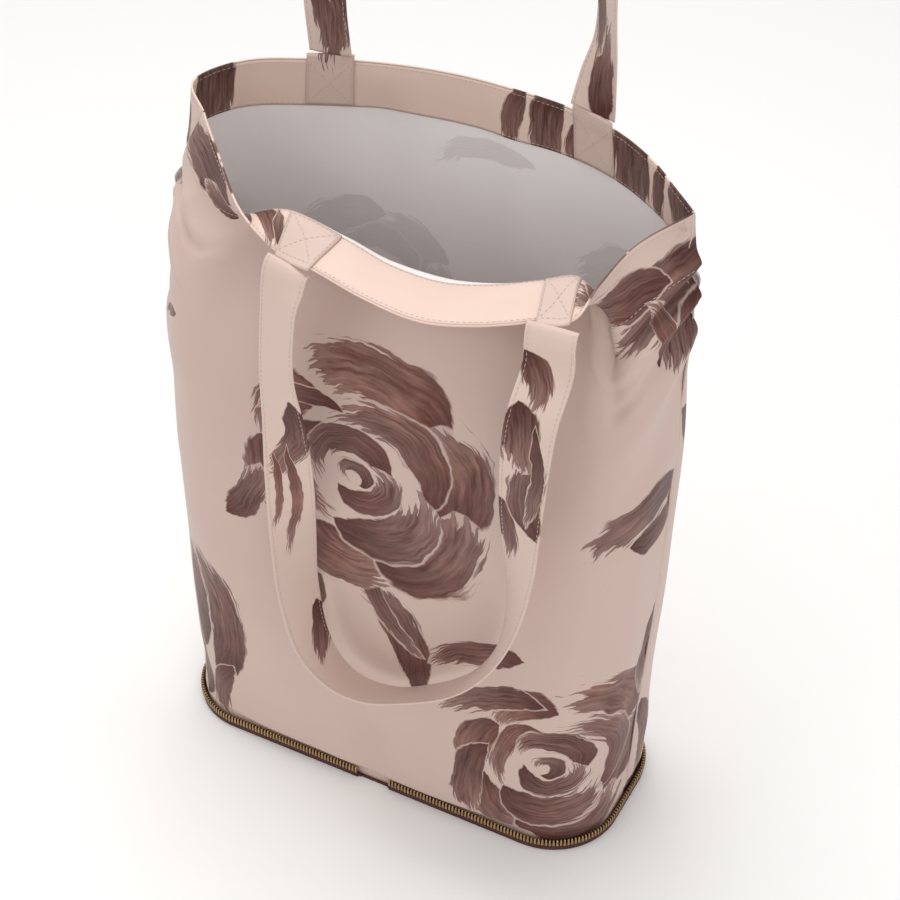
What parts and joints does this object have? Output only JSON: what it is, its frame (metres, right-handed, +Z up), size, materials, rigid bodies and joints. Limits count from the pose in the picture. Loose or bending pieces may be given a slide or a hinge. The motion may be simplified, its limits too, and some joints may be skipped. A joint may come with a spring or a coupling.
{
  "type": "foldable tote bag",
  "caption": "Open-topped fabric tote standing on its opened clamshell zip pouch base, with two loop handles; the base halves fold up like a book.",
  "frame": {"origin": "centre of the underside of the base, on the surface the bag stands on", "axes": "+X along the base's length to the bag's right as seen from the front, -Y towards the front, +Z up"},
  "size_m": [0.3492, 0.1989, 0.7935],
  "materials": {
    "printed_cloth": "satin-sheen printed polyester, brush-stroke rose print in dark brown on blush; unprinted grey-white inside",
    "seam_binding": "thin pale binding tape",
    "base_cloth": "dark maroon base cloth",
    "zip_tape": "dark maroon woven zip tape",
    "zip_metal": "antique brass"
  },
  "bodies": {
    "bag_body": {"front_panel": "printed_cloth", "back_panel": "printed_cloth", "front_mouth_band": "printed_cloth", "back_mouth_band": "printed_cloth", "left_seam_binding": "seam_binding", "right_seam_binding": "seam_binding", "front_handle_left_end": "printed_cloth", "front_handle_right_end": "printed_cloth", "back_handle_left_end": "printed_cloth", "back_handle_right_end": "printed_cloth", "base_spine": "base_cloth"},
    "front_handle_loop": {"front_handle": "printed_cloth"},
    "back_handle_loop": {"back_handle": "printed_cloth"},
    "base_left": {"base_left_panel": "base_cloth", "zip_tape_left": "zip_tape", "zip_teeth_left": "zip_metal"},
    "base_right": {"base_right_panel": "base_cloth", "zip_tape_right": "zip_tape", "zip_teeth_right": "zip_metal"},
    "slider": {"zip_slider": "zip_metal"},
    "pull": {"zip_pull": "zip_metal"}
  },
  "joints": [
    {"name": "base_left_fold", "type": "hinge", "parent": "bag_body", "child": "base_left", "pos_m": [-0.0105, 0, 0.0015], "axis": [0, 1, 0], "range_deg": [0, 90], "deforming": ["front_panel", "back_panel", "front_mouth_band", "back_mouth_band", "left_seam_binding", "right_seam_binding", "front_handle_left_end", "front_handle_right_end", "back_handle_left_end", "back_handle_right_end", "front_handle", "back_handle"]},
    {"name": "base_right_fold", "type": "hinge", "parent": "bag_body", "child": "base_right", "pos_m": [0.0105, 0, 0.0015], "axis": [0, -1, 0], "range_deg": [0, 90]},
    {"name": "front_handle_swing", "type": "hinge", "parent": "bag_body", "child": "front_handle_loop", "pos_m": [0.0424, -0.07225, 0.44397], "axis": [-0.996, -0.0892, -0.009], "range_deg": [0, 175]},
    {"name": "back_handle_swing", "type": "hinge", "parent": "bag_body", "child": "back_handle_loop", "pos_m": [-0.00619, 0.06916, 0.49772], "axis": [-0.9994, -0.0045, -0.0343], "range_deg": [-105, 90]},
    {"name": "zip_slide", "type": "slide", "parent": "base_left", "child": "slider", "axis": [-1, 0, 0], "range_m": [0, 0.092]},
    {"name": "zip_pull_swing", "type": "hinge", "parent": "slider", "child": "pull", "pos_m": [-0.019, 0.0732, 0.012], "axis": [0, 0, -1], "range_deg": [0, 170]}
  ],
  "couplings": [
    {"joint": "base_right_fold", "follows": "base_left_fold", "ratio": 1}
  ]
}
